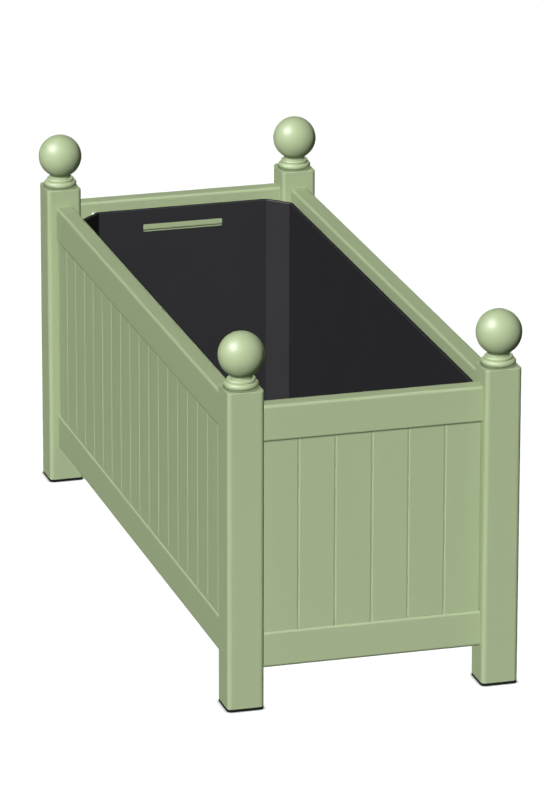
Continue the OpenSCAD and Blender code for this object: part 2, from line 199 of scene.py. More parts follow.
@dataclass(frozen=True)
class Axes:
    """A place and three directions that carry plane shapes into the planter's frame."""

    origin: Triple
    across: Triple = X
    up: Triple = Y
    along: Triple = Z

    def directions(self, flat: np.ndarray, along: np.ndarray | float) -> np.ndarray:
        """Carries directions into the frame: flat x across + flat y up + along.

        Args:
            flat: The part in the plane, whose last axis holds x and y.
            along: The part along the line, which is spread over flat's other axes.

        Returns:
            The directions, whose last axis holds three numbers.
        """
        return (
            flat[..., :1] * np.array(self.across)
            + flat[..., 1:] * np.array(self.up)
            + np.asarray(along)[..., None] * np.array(self.along)
        )

    def points(self, flat: np.ndarray, along: np.ndarray | float) -> np.ndarray:
        """Returns the same sum, measured from the origin."""
        return np.array(self.origin) + self.directions(flat, along)


GROUND = Axes((0, 0, 0))


class Shell:
    """Patches of surface that are welded into one closed mesh."""

    def __init__(self) -> None:
        """Starts with no patch."""
        self.points: list[np.ndarray] = []
        self.normals: list[np.ndarray] = []
        self.faces: list[np.ndarray] = []
        self.tones: list[np.ndarray] = []
        self.count = 0
        self.tone = 0.0

    def add(self, points: np.ndarray, normals: np.ndarray, faces: np.ndarray) -> None:
        """Adds points with their normals, and faces of three or four corners.

        Args:
            points: Shape (n, 3).
            normals: Shape (n, 3), pointing out of the material.
            faces: Shape (m, 3) or (m, 4), indices into the points.
        """
        if faces.shape[1] == 3:
            faces = np.hstack([faces, faces[:, 2:]])
        self.points.append(points)
        self.normals.append(normals)
        self.faces.append(faces + self.count)
        self.tones.append(np.full(len(points), self.tone))
        self.count += len(points)

    def grid(
        self, points: np.ndarray, normals: np.ndarray, leave_out: np.ndarray | None = None
    ) -> None:
        """Adds a surface of two parameters, whose last column meets the first.

        Args:
            points: Shape (rows, columns, 3).
            normals: The same shape.
            leave_out: Which cells stay open, shape (rows - 1, columns).
        """
        index = np.arange(points.shape[0] * points.shape[1]).reshape(points.shape[:2])
        index = np.hstack([index, index[:, :1]])
        cells = np.stack([index[:-1, :-1], index[1:, :-1], index[1:, 1:], index[:-1, 1:]], -1)
        cells = cells.reshape(-1, 4) if leave_out is None else cells[~leave_out]
        self.add(points.reshape(-1, 3), normals.reshape(-1, 3), cells)

    def plate(self, loops: Sequence[np.ndarray], normal: Point) -> None:
        """Adds a flat face inside the first loop and outside the others.

        Args:
            loops: Closed loops of points, each of shape (n, 3).
            normal: Direction that the face looks in.
        """
        corners = np.concatenate(list(loops))
        faces = np.array(tessellate_polygon([[Vector(p) for p in loop] for loop in loops]))
        self.add(corners, np.tile(np.asarray(normal, float), (len(corners), 1)), faces)

    def wall(self, loop: Line, axes: Axes, length: float, edge: float, steps: int = 2) -> None:
        """Adds an outline carried along a straight line, both its ends rounded.

        At an angle t of an end's rounding the outline is drawn in by edge (1 - sin t) and lies
        edge (1 - cos t) from the end, and the normal is sin t of the outline's and cos t of the
        end's. Where the outline is a hole's, the hole grows wider there.

        Args:
            loop: The outline. A hole's normals point into the hole.
            axes: Where the outline and the line lie.
            length: The line's length.
            edge: Radius of the rounding at each end.
            steps: Straight pieces in that rounding.
        """
        t = np.linspace(0, QUARTER_TURN, steps + 1)
        inset = edge * (1 - np.cos(t))
        rise = np.concatenate([inset, length - inset[::-1]])[:, None]
        share = np.sin(np.concatenate([t, t[::-1]]))[:, None, None]
        lean = np.concatenate([-np.cos(t), np.cos(t[::-1])])[:, None]
        flat = loop.points - edge * (1 - share) * loop.normals
        self.grid(axes.points(flat, rise), axes.directions(share * loop.normals, lean))

    def prism(
        self, loops: Sequence[Line], axes: Axes, length: float, edge: float, steps: int
    ) -> None:
        """Adds a prism: a wall round each loop, and a flat face at both ends.

        Args:
            loops: The section's outline, and then the outlines of its hollows.
            axes: Where the section and the line lie.
            length: The prism's length.
            edge: Radius of the rounding round each end.
            steps: Straight pieces in that rounding.
        """
        for loop in loops:
            self.wall(loop, axes, length, edge, steps)
        for end, way in ((0.0, -1.0), (length, 1.0)):
            rims = [axes.points(loop.moved(-edge), end) for loop in loops]
            self.plate(rims, way * np.array(axes.along))

    def lathe(self, profile: Line, axes: Axes, steps: int) -> None:
        """Adds a turned surface: the profile's point (r, h) goes to r (cos a, sin a), height h.

        Args:
            profile: Half section, with x as the radius and y as the height.
            axes: Its `along` is the axis.
            steps: Faces in one turn.
        """
        ray = rays(full_turn(steps))
        points = axes.points(profile.points[:, :1, None] * ray, profile.points[:, 1:])
        lean = axes.directions(profile.normals[:, :1, None] * ray, profile.normals[:, 1:])
        self.grid(points, lean)

    def build(self, name: str, exact_normals: bool = True) -> bpy.types.Object:
        """Welds the patches, turns every face outwards and makes the object.

        Args:
            name: The piece's name.
            exact_normals: False to let Blender shade it, with its sharp edges kept.

        Returns:
            The object, at the origin, with its place in its mesh.
        """
        points, normals = np.concatenate(self.points), np.concatenate(self.normals)
        faces, tones = np.concatenate(self.faces), np.concatenate(self.tones)
        cell = np.round(points / WELD).astype(np.int64)
        _, first, place = np.unique(cell, axis=0, return_index=True, return_inverse=True)
        place = place.reshape(-1)
        points, tones, faces = points[first], tones[first], place[faces]
        summed = np.stack([np.bincount(place, part, len(first)) for part in normals.T], 1)
        normals = summed / np.maximum(np.linalg.norm(summed, axis=1), LEAST_LENGTH)[:, None]
        corner = points[faces]
        facing = np.cross(corner[:, 2] - corner[:, 0], corner[:, 3] - corner[:, 1])
        backwards = (facing * normals[faces].sum(1)).sum(1) < 0
        faces[backwards] = faces[backwards][:, ::-1]
        real = faces != np.roll(faces, 1, axis=1)
        keep = real.sum(1) > 2
        faces, real = faces[keep], real[keep]
        loops, sizes = faces[real], real.sum(1)
        starts = np.concatenate([[0], np.cumsum(sizes)[:-1]])

        mesh = bpy.data.meshes.new(name)
        mesh.vertices.add(len(points))
        mesh.vertices.foreach_set("co", (points * MM).astype(np.float32).ravel())
        mesh.loops.add(len(loops))
        mesh.loops.foreach_set("vertex_index", loops.astype(np.int32))
        mesh.polygons.add(len(sizes))
        mesh.polygons.foreach_set("loop_start", starts.astype(np.int32))
        mesh.update(calc_edges=True)
        mesh.shade_smooth()
        tone = mesh.attributes.new("tone", "FLOAT", "POINT")
        tone.data.foreach_set("value", tones.astype(np.float32))
        if exact_normals:
            mesh.normals_split_custom_set_from_vertices(normals.tolist())
        else:
            mesh.set_sharp_from_angle(angle=SHARP_EDGE)
        following = np.concatenate([loops[1:], loops[:1]])
        following[starts[1:] - 1], following[-1] = loops[starts[:-1]], loops[starts[-1]]
        edges = np.sort(np.stack([loops, following], 1), 1)
        open_edges = int((np.unique(edges, axis=0, return_counts=True)[1] != 2).sum())
        if open_edges:
            log.warning("%s: %d edges aren't shared by two faces", name, open_edges)
        piece = bpy.data.objects.new(name, mesh)
        bpy.context.scene.collection.objects.link(piece)
        return piece


# ---------------------------------------------------------------- shader nodes


class Wire:
    """A value socket that takes part in sums: each operator adds a Math node."""

    def __init__(self, graph: "Graph", socket: bpy.types.NodeSocket | None) -> None:
        """Wraps a socket of a graph."""
        self.graph = graph
        self.socket = socket

    def _math(self, operation: str, first: object, second: object) -> "Wire":
        """Adds a Math node on two values and returns its result."""
        return self.graph.add("ShaderNodeMath", {"operation": operation}, {0: first, 1: second})

    def __add__(self, other: object) -> "Wire":
        """self + other."""
        return self._math("ADD", self, other)

    def __sub__(self, other: object) -> "Wire":
        """self - other."""
        return self._math("SUBTRACT", self, other)

    def __rsub__(self, other: object) -> "Wire":
        """other - self."""
        return self._math("SUBTRACT", other, self)

    def __mul__(self, other: object) -> "Wire":
        """self * other."""
        return self._math("MULTIPLY", self, other)

    __radd__ = __add__
    __rmul__ = __mul__

    def __pow__(self, other: object) -> "Wire":
        """self to the power of other."""
        return self._math("POWER", self, other)

    def __abs__(self) -> "Wire":
        """Distance of self from 0."""
        return self._math("ABSOLUTE", self, 0.0)

    def at_least(self, other: object) -> "Wire":
        """The larger of self and other."""
        return self._math("MAXIMUM", self, other)


def weighed(start: float, swings: Sequence[Wire], weights: Sequence[float]) -> Wire | float:
    """Returns start plus each swing times its weight, where that isn't 0."""
    return sum((swing * weight for swing, weight in zip(swings, weights) if weight), start)


def rgba(colour: Colour, times: float = 1.0) -> tuple[float, float, float, float]:
    """Returns a colour as four numbers, made lighter or darker by a factor."""
    return (*(min(1.0, times * c) for c in colour), 1.0)


class Graph:
    """The node tree of a material or of the world."""

    low_angle: tuple[float, float] = (0.3, 0.62)

    def __init__(self, owner: bpy.types.Material | bpy.types.World) -> None:
        """Empties the owner's tree and starts anew.

        Args:
            owner: The material or the world.
        """
        owner.use_nodes = True
        self.tree = owner.node_tree
        self.tree.nodes.clear()

    def add(
        self,
        kind: str,
        settings: Mapping[str, object] | None = None,
        inputs: Mapping[int | str, object] | None = None,
        output: int | str = 0,
    ) -> Wire:
        """Adds any node.

        Args:
            kind: The node's type.
            settings: Its properties, which are set first.
            inputs: Values or wires for its sockets, by number or name.
            output: The output that the result stands for.

        Returns:
            The chosen output, or nothing's wire where the node has none.
        """
        node = self.tree.nodes.new(kind)
        for key, value in (settings or {}).items():
            setattr(node, key, value)
        for key, value in (inputs or {}).items():
            if isinstance(value, Wire):
                self.tree.links.new(value.socket, node.inputs[key])
            else:
                node.inputs[key].default_value = value
        return Wire(self, node.outputs[output] if node.outputs else None)

    @cached_property
    def place(self) -> Wire:
        """The point's place in the planter's frame, in metres."""
        return self.add("ShaderNodeTexCoord", output="Object")

    def part(self, axis: str) -> Wire:
        """Returns the place's distance along X, Y or Z, in millimetres."""
        return self.add("ShaderNodeSeparateXYZ", None, {0: self.place}, axis) * (1 / MM)

    def near(self, value: Wire, centre: float, reach: float) -> Wire:
        """Returns 1 where the value is `centre`, falling evenly to 0 where it is `reach` away."""
        inputs = {"Value": abs(value - centre), "From Max": reach, "To Min": 1.0, "To Max": 0.0}
        return self.add("ShaderNodeMapRange", {"clamp": True}, inputs)

    def blend(self, share: Wire | float, first: object, second: object) -> Wire:
        """Returns a colour between the first, at 0, and the second, at 1."""
        inputs = {0: share, 6: first, 7: second}
        return self.add("ShaderNodeMix", {"data_type": "RGBA"}, inputs, 2)

    def coat(self, inputs: Mapping[int | str, object]) -> Wire:
        """Makes a coat whose fine texture takes its gloss away at a low angle.

        Args:
            inputs: Sockets of the principled shader, both with and without the gloss.

        Returns:
            The shader.
        """
        matte = {**inputs, "Specular IOR Level": 0.0}
        facing = self.add("ShaderNodeLayerWeight", None, {"Blend": 0.5}, "Facing")
        limits = {"Value": facing, "From Min": self.low_angle[0], "From Max": self.low_angle[1]}
        ends = {
            0: self.add("ShaderNodeMapRange", {"clamp": True}, limits),
            1: self.add("ShaderNodeBsdfPrincipled", None, inputs),
            2: self.add("ShaderNodeBsdfPrincipled", None, matte),
        }
        return self.add("ShaderNodeMixShader", None, ends)


# ---------------------------------------------------------------- finishes


class Slot(Enum):
    """The material slots of the part's record."""

    SAGE = "sage_coat"
    BLACK = "black_coat"
    PAD = "pad_plastic"
    ALUMINIUM = "bare_aluminium"
    STAINLESS = "stainless"


class Grain(Enum):
    """How a noise is drawn out along X, Y and Z: not at all, or to the lines of a drawn bar."""

    NONE = (1.0, 1.0, 1.0)
    ALONG_X = (6.0, 900.0, 900.0)
    ALONG_Y = (900.0, 6.0, 900.0)


@dataclass(frozen=True)
class Layer:
    """A noise over a finish, and how far it moves the tint, the roughness and the height."""

    waves_per_m: float
    detail: float = 2.0
    tint: float = 0.0
    roughness: float = 0.0
    height_mm: float = 0.0
    grain: Grain = Grain.NONE

    def swing(self, graph: Graph) -> Wire:
        """Lays the noise over the finish.

        Args:
            graph: The finish's tree.

        Returns:
            The noise, from -1/2 to 1/2.
        """
        place = graph.place
        if self.grain is not Grain.NONE:
            stretch = {"Vector": place, "Scale": self.grain.value}
            place = graph.add("ShaderNodeMapping", None, stretch, "Vector")
        inputs = {"Vector": place, "Scale": self.waves_per_m, "Detail": self.detail}
        return graph.add("ShaderNodeTexNoise", None, inputs, "Fac") - 0.5


@dataclass(frozen=True)
class Finish:
    """A finish that its layers of noise vary a little; `tint` holds its darkest and lightest."""

    name: str
    slot: Slot
    colour: Colour
    roughness: float
    tint: tuple[float, float]
    layers: tuple[Layer, ...]
    specular: float = 0.5
    metallic: float = 0.0

    def shade(self, graph: Graph, share: Wire) -> Wire:
        """Returns the colour between the darkest tint, at 0, and the lightest, at 1."""
        dark, light = (rgba(self.colour, times) for times in self.tint)
        return graph.blend(share, dark, light)

    def material(self) -> bpy.types.Material:
        """Makes the material: each value is its middle plus the layers' swings by their weights.

        Returns:
            The material. A coat loses its gloss at a low angle, and a metal doesn't.
        """
        material = bpy.data.materials.new(self.name)
        graph = Graph(material)
        swings = [layer.swing(graph) for layer in self.layers]
        share = weighed(0.5, swings, [layer.tint for layer in self.layers])
        height = weighed(0.0, swings, [layer.height_mm for layer in self.layers])
        bump = {"Height": height, "Distance": MM}
        inputs = {
            "Base Color": self.shade(graph, share),
            "Roughness": weighed(
                self.roughness, swings, [layer.roughness for layer in self.layers]
            ),
            "Normal": graph.add("ShaderNodeBump", None, bump),
            "Specular IOR Level": self.specular,
            "Metallic": self.metallic,
        }
        if self.metallic:
            surface = graph.add("ShaderNodeBsdfPrincipled", None, inputs)
        else:
            surface = graph.coat(inputs)
        graph.add("ShaderNodeOutputMaterial", None, {"Surface": surface})
        return material


@dataclass(frozen=True)
class ShadeBand:
    """A level band of painted shade: its height, its reach up and down and the shade's share."""

    height: float
    reach: float
    share: float

    def painted_shade(self, graph: Graph) -> Wire:
        """Returns the painted shade's share, which falls evenly above and below the band's height.
        """
        return graph.near(graph.part("Z"), self.height, self.reach) * self.share


@dataclass(frozen=True)
class PowderCoat(Finish):
    """Baked powder coat: faint clouds, a skin like fine orange peel, and bands of painted shade."""

    roughness: float = 0.48
    tint: tuple[float, float] = (0.98, 1.02)
    layers: tuple[Layer, ...] = (
        Layer(2.6, detail=3.0, tint=1.2),
        Layer(17.0, tint=0.4, roughness=0.05),
        Layer(380.0, detail=1.0, roughness=0.04, height_mm=0.012),
        Layer(2400.0, detail=1.0, height_mm=0.003),
    )
    specular: float = 0.25
    tone_weight: float = 0.3
    # Bands of painted shade, and how dark the shaded colour gets as a share of the coat's own.
    shade_bands: tuple[ShadeBand, ...] = ()
    painted_shade_tone: float = 0.1

    def painted_shade(self, graph: Graph) -> Wire | float:
        """Returns the painted shade's share: all its bands, one on top of another."""
        return sum(crease.painted_shade(graph) for crease in self.shade_bands)

    def shade(self, graph: Graph, share: Wire) -> Wire:
        """Tints each board by its own tone, and darkens the colour with painted shade.

        Args:
            graph: The coat's tree.
            share: What the layers say, from the darkest tint at 0 to the lightest at 1.

        Returns:
            The colour.
        """
        tone = graph.add("ShaderNodeAttribute", {"attribute_name": "tone"}, None, "Fac")
        unshaded_colour = super().shade(graph, share + tone * self.tone_weight)
        # Painted shade: in the bands the colour darkens towards a small share of itself.
        return graph.blend(self.painted_shade(graph), unshaded_colour, rgba(self.colour, self.painted_shade_tone))


@dataclass(frozen=True)
class CapCoat(PowderCoat):
    """Powder coat on the posts' caps, with painted shade in a ring round the collars on their tops.
    """

    ring_radius: float = 22.5
    ring_reach: float = 3.6
    ring_share: float = 0.6
    top_reach: float = 1.4

    def painted_shade(self, graph: Graph) -> Wire:
        """Lays the ring by the distance to the nearest post's axis: sqrt(dx^2 + dy^2).

        Args:
            graph: The coat's tree.

        Returns:
            The painted shade's share of the colour.
        """
        x, y = ENVELOPE.post_axis(Corner.BACK_RIGHT)
        dx, dy = abs(graph.part("X")) - x, abs(graph.part("Y")) - y
        radius = (dx * dx + dy * dy) ** 0.5
        top = graph.near(graph.part("Z"), ENVELOPE.post_top, self.top_reach)
        # Painted shade in a ring on the cap's top, round the collar's foot.
        return graph.near(radius, self.ring_radius, self.ring_reach) * top * self.ring_share


def mill_aluminium(name: str, grain: Grain) -> Finish:
    """Makes aluminium as it leaves the die: fine straight lines and a soft shine.

    Args:
        name: The finish's name.
        grain: Direction of the lines.

    Returns:
        The finish.
    """
    lines = Layer(1.0, tint=0.6, roughness=0.14, height_mm=0.01, grain=grain)
    clouds = Layer(22.0, detail=3.0, tint=0.4, roughness=0.08)
    return Finish(
        name,
        Slot.ALUMINIUM,
        (0.62, 0.63, 0.64),
        roughness=0.36,
        tint=(0.9, 1.08),
        layers=(lines, clouds),
        metallic=1.0,
    )


SAGE = (0.313, 0.383, 0.222)
# The sage made about 8 % lighter: painted light that brightens the ball finials.
SAGE_LIT_FOR_CASTINGS = (0.338, 0.414, 0.24)
POST_COAT = PowderCoat("sage_powder_coat", Slot.SAGE, SAGE)
# Painted shade along the lower rounded edges of the top and bottom rails.
RAIL_COAT = PowderCoat(
    "sage_coat_on_rails",
    Slot.SAGE,
    SAGE,
    shade_bands=(ShadeBand(367.2, 2.2, 0.42), ShadeBand(54.8, 2.4, 0.35)),
)
# Painted shadow on the boards just under the top rails.
BOARD_COAT = PowderCoat(
    "sage_coat_on_boards", Slot.SAGE, SAGE, shade_bands=(ShadeBand(366.5, 1.8, 0.5),)
)
# Painted shade in a ring round each collar on the caps' tops.
CAP_COAT = CapCoat("sage_coat_on_caps", Slot.SAGE, SAGE)
# Painted shade at the foot of each collar and in the throat under each ball.
CAST_COAT = PowderCoat(
    "sage_coat_on_castings",
    Slot.SAGE,
    SAGE_LIT_FOR_CASTINGS,
    shade_bands=(ShadeBand(441.8, 2.0, 0.6), ShadeBand(457.6, 2.3, 0.78)),
)
LINER_COAT = Finish(
    "black_texture_coat",
    Slot.BLACK,
    (0.0232, 0.0228, 0.0252),
    roughness=0.52,
    tint=(0.94, 1.06),
    layers=(
        Layer(9.0, detail=3.0, tint=1.0, roughness=0.08),
        Layer(1100.0, height_mm=0.01),
        Layer(480.0, detail=1.0, height_mm=0.01),
    ),
    specular=0.12,
)
MOULDED_NYLON = Finish(
    "black_moulded_nylon",
    Slot.PAD,
    (0.009, 0.01, 0.009),
    roughness=0.6,
    tint=(0.9, 1.15),
    layers=(Layer(60.0, tint=1.0, roughness=0.1), Layer(1500.0, height_mm=0.03)),
    specular=0.06,
)
STAINLESS_STEEL = Finish(
    "stainless_fasteners",
    Slot.STAINLESS,
    (0.56, 0.55, 0.53),
    roughness=0.27,
    tint=(0.92, 1.06),
    layers=(Layer(240.0, tint=1.0), Layer(1900.0, roughness=0.12, height_mm=0.004)),
    metallic=1.0,
)


class Body(Enum):
    """The bodies of the part's model."""

    FRAME = "frame"
    LINER = "liner"


class Finishes:
    """Makes each finish once and puts it on pieces and on the solids' nodes."""

    def __init__(self) -> None:
        """Makes the table of finishes that are in use."""
        self.made: dict[str, bpy.types.Material] = {}

    def put(self, finish: Finish, piece: bpy.types.Object) -> None:
        """Gives a piece the finish as its only material.

        Args:
            finish: The finish.
            piece: The piece.
        """
        if finish.name not in self.made:
            self.made[finish.name] = finish.material()
        piece.data.materials.clear()
        piece.data.materials.append(self.made[finish.name])

    def dress_node(self, finish: Finish, node: str) -> None:
        """Gives a solid's own node the finish, and reports it."""
        self.put(finish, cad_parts[node])
        log.info("%s: the solid's own shape in %s", node, finish.name)

    def dress_piece(
        self, finish: Finish, piece: bpy.types.Object, node: str, body: Body = Body.FRAME
    ) -> None:
        """Finishes a new piece, sets it on its body in the place of a node, and reports it.

        Args:
            finish: The finish.
            piece: The new piece.
            node: The node that it stands for.
            body: The body that it moves with.
        """
        self.put(finish, piece)
        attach(piece, body.value)
        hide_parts(node)
        faces = len(piece.data.polygons)
        log.info("%s: %d faces in %s, for %s", piece.name, faces, finish.name, node)


# ---------------------------------------------------------------- the planter


class Place(Enum):
    """A place on the planter, whose value is its direction from the middle in X and Y."""

    @property
    def label(self) -> str:
        """The place's name in the nodes."""
        return self.name.lower()


class Corner(Place):
    """The four posts."""

    FRONT_LEFT = (-1, -1)
    FRONT_RIGHT = (1, -1)
    BACK_LEFT = (-1, 1)
    BACK_RIGHT = (1, 1)


class Side(Place):
    """The four sides, the long ones first."""

    FRONT = (0, -1)
    BACK = (0, 1)
    LEFT = (-1, 0)
    RIGHT = (1, 0)


@dataclass(frozen=True)
class Envelope:
    """The sizes that all the pieces share."""

    length: float = 1000.0
    width: float = 400.0
    post_top: float = 441.0
    post_side: float = 50.0
    rail_thickness: float = 25.0

    def post_axis(self, corner: Corner) -> tuple[float, float]:
        """Returns where a post's axis stands."""
        x, y = corner.value
        return x * (self.length - self.post_side) / 2, y * (self.width - self.post_side) / 2


ENVELOPE = Envelope()


@dataclass
class Frame:
    """Posts, caps, foot pads and rails, whose solids are shown as they are."""

    coat: PowderCoat = POST_COAT
    cap_coat: CapCoat = CAP_COAT
    rail_coat: PowderCoat = RAIL_COAT
    pad: Finish = MOULDED_NYLON

    def dress(self, finishes: Finishes) -> None:
        """Finishes the posts, caps, pads and rails.

        Args:
            finishes: The finishes in use.
        """
        for corner in Corner:
            finishes.dress_node(self.coat, f"post_{corner.label}")
            finishes.dress_node(self.cap_coat, f"post_cap_{corner.label}")
            finishes.dress_node(self.pad, f"foot_pad_{corner.label}")
        for side in Side:
            finishes.dress_node(self.rail_coat, f"top_rail_{side.label}")
            finishes.dress_node(self.rail_coat, f"bottom_rail_{side.label}")


@dataclass
class Finial:
    """Ball on a two-ring collar, turned about the axis of its post.

    A ring is the radius and height of its section's centre, and that section's own radius.
    """

    ball_radius: float = 30.68
    ball_height: float = 44.3
    neck_radius: float = 14.5
    base_radius: float = 18.8
    lower_ring: Triple = (18.8, 4.8, 4.2)
    upper_ring: Triple = (16.8, 10.7, 2.6)
    base_fillet: float = 0.25
    ring_fillet: float = 0.3
    neck_fillet: float = 0.8
    bore_radius: float = 4.05
    bore_depth: float = 22.3
    bore_round: float = 0.3
    base_round: float = 0.1
    turn_steps: int = 120
    crease_steps: int = 5
    lower_steps: int = 22
    upper_steps: int = 14
    ball_steps: int = 72
    coat: PowderCoat = CAST_COAT

    def _beside_wall(self, wall: float, centre: Point, radius: float, fillet: float) -> np.ndarray:
        """Finds the centre of a fillet between an upright wall and a circle above it.

        It lies `fillet` outside the wall and radius + fillet from the circle's centre, below it.

        Args:
            wall: The wall's radius.
            centre: The circle's centre.
            radius: The circle's radius.
            fillet: The fillet's radius.

        Returns:
            The fillet's centre.
        """
        x = wall + fillet
        drop = math.sqrt((radius + fillet) ** 2 - (x - centre[0]) ** 2)
        return np.array([x, centre[1] - drop])

    def _between_rings(self) -> np.ndarray:
        """Finds the centre of the fillet in the crease between the rings, on their outer side.

        Its distances p and q from the rings' centres, d apart, are their radii plus its own: along
        the line of centres it lies at a = (d^2 + p^2 - q^2) / 2d, and h = sqrt(p^2 - a^2) beside.

        Returns:
            The fillet's centre.
        """
        low, high = np.array(self.lower_ring), np.array(self.upper_ring)
        gap = high[:2] - low[:2]
        apart = float(np.linalg.norm(gap))
        near, far = low[2] + self.ring_fillet, high[2] + self.ring_fillet
        share = (apart**2 + near**2 - far**2) / (2 * apart)
        beside = math.sqrt(near**2 - share**2)
        way = gap / apart
        return low[:2] + share * way + beside * np.array([way[1], -way[0]])

    def _crease(self, centre: np.ndarray, radius: float, start: float, end: float) -> Line:
        """Returns a hollow fillet that turns clockwise from one angle to the other."""
        end = start - (start - end) % FULL_TURN
        return arc(centre, radius, start, end, self.crease_steps, hollow=True)

    def profile(self) -> Line:
        """Draws the half section: arcs that touch, with a fillet in each crease between them.

        Returns:
            The section, from the top of the stud's bore round the collar to the top of the ball.
        """
        low, high = self.lower_ring, self.upper_ring
        ball = (0.0, self.ball_height)
        foot = self._beside_wall(self.base_radius, low, low[2], self.base_fillet)
        waist = self._between_rings()
        throat = self._beside_wall(self.neck_radius, ball, self.ball_radius, self.neck_fillet)
        neck = np.array([self.neck_radius, high[1] + high[2]]) + self.neck_fillet
        corners = [
            (0, self.bore_depth),
            (self.bore_radius, self.bore_depth),
            (self.bore_radius, 0),
            (self.base_radius, 0),
            (self.base_radius, foot[1]),
        ]
        radii = [0, self.bore_round, self.bore_round, self.base_round, 0]
        foot_end, low_end = angle_to(low, foot), angle_to(low, waist)
        throat_end = angle_to(ball, throat)
        return joined(
            rounded(corners, radii, closed=False),
            self._crease(foot, self.base_fillet, math.pi, angle_to(foot, low)),
            arc(low[:2], low[2], foot_end, low_end, self.lower_steps),
            self._crease(waist, self.ring_fillet, angle_to(waist, low), angle_to(waist, high)),
            arc(high[:2], high[2], angle_to(high, waist), QUARTER_TURN, self.upper_steps),
            self._crease(neck, self.neck_fillet, -QUARTER_TURN, -math.pi),
            self._crease(throat, self.neck_fillet, math.pi, angle_to(throat, ball)),
            arc(ball, self.ball_radius, throat_end, QUARTER_TURN, self.ball_steps),
        )

    def dress(self, finishes: Finishes) -> None:
        """Builds the four finials.

        Args:
            finishes: The finishes in use.
        """
        profile = self.profile()
        for corner in Corner:
            shell = Shell()
            axes = Axes((*ENVELOPE.post_axis(corner), ENVELOPE.post_top))
            shell.lathe(profile, axes, self.turn_steps)
            piece = shell.build(f"ball_finial_{corner.label}")
            finishes.dress_piece(self.coat, piece, f"finial_{corner.label}")


@dataclass
class Boards:
    """Upright V-jointed boards: hollow sections, tongued and grooved, held by the rails.

    The bevel is its width and its fall, and the tongue and the groove are depth and thickness.
    """

    pitch: float = 50.0
    gap: float = 0.2
    thickness: float = 12.0
    behind_post: float = 14.5
    bevel: tuple[float, float] = (2.0, 0.7)
    wall: float = 1.5
    tongue: tuple[float, float] = (4.0, 3.6)
    groove: tuple[float, float] = (4.3, 4.2)
    low: float = 93.0
    high: float = 375.7
    face_round: float = 3.0
    edge_round: float = 0.2
    hollow_round: float = 0.5
    round_steps: int = 3
    hollow_steps: int = 2
    seed: int = 7
    coat: PowderCoat = BOARD_COAT

    def section(self, tongued: bool) -> list[Line]:
        """Draws a board's section, x along the wall and y into the planter.

        Args:
            tongued: False for the last board of a wall.

        Returns:
            The outline first, then the two hollows.
        """
        w, t = self.pitch - self.gap, self.thickness
        run, fall = self.bevel
        long, thick = self.tongue
        deep, wide = self.groove
        low, high = (t - thick) / 2, (t + thick) / 2
        tongue = [(w, low), (w + long, low), (w + long, high), (w, high)] if tongued else []
        low, high = (t - wide) / 2, (t + wide) / 2
        groove = [(0, high), (deep, high), (deep, low), (0, low)]
        face = [(run, 0), (w - run, 0), (w, fall)]
        corners = [*face, *tongue, (w, t), (0, t), *groove, (0, fall)]
        radii = [self.face_round] * 2 + [self.edge_round] * (len(corners) - 2)
        loops = [rounded(corners, radii, steps=self.round_steps)]
        start = deep + self.wall
        cell = (w - run - start - self.wall) / 2
        y0, y1 = self.wall, t - self.wall
        for x0 in (start, start + (cell + self.wall)):
            hollow = [(x0, y0), (x0, y1), (x0 + cell, y1), (x0 + cell, y0)]
            loops.append(rounded(hollow, self.hollow_round, steps=self.hollow_steps))
        return loops

    def add_board(self, shell: Shell, side: Side, i: int, count: int) -> None:
        """Adds a board to a shell.

        Args:
            shell: The shell that takes it.
            side: The wall that it stands in.
            i: Its place in the wall, from 0.
            count: The wall's number of boards.
        """
        x, y = side.value
        out_x = ENVELOPE.length / 2 - self.behind_post
        out_y = ENVELOPE.width / 2 - self.behind_post
        axes = Axes((x * out_x, y * out_y, self.low), (abs(y), x, 0), (-x, -y, 0))
        left = (i - count / 2) * self.pitch + self.gap / 2
        loops = [loop.shifted(left) for loop in self.section(i < count - 1)]
        shell.prism(loops, axes, self.high - self.low, self.edge_round, steps=1)

    def dress(self, finishes: Finishes) -> None:
        """Builds one piece for each long wall, and one for each board of the ends.

        Each board has its own faint tone, drawn wall by wall.

        Args:
            finishes: The finishes in use.
        """
        draw = np.random.default_rng(self.seed)
        for side in Side:
            label, is_long = side.label, side.value[0] == 0
            span = (ENVELOPE.length if is_long else ENVELOPE.width) - 2 * ENVELOPE.post_side
            count = round(span / self.pitch)
            shell = Shell()
            for i in range(count):
                shell.tone = draw.uniform(-1, 1)
                self.add_board(shell, side, i, count)
                if not is_long:
                    piece = shell.build(f"vee_board_{label}_{i + 1}")
                    finishes.dress_piece(self.coat, piece, f"{label}_board_{i + 1}")
                    shell = Shell()
            if is_long:
                piece = shell.build(f"vee_boards_{label}")
                finishes.dress_piece(self.coat, piece, f"{label}_boards")


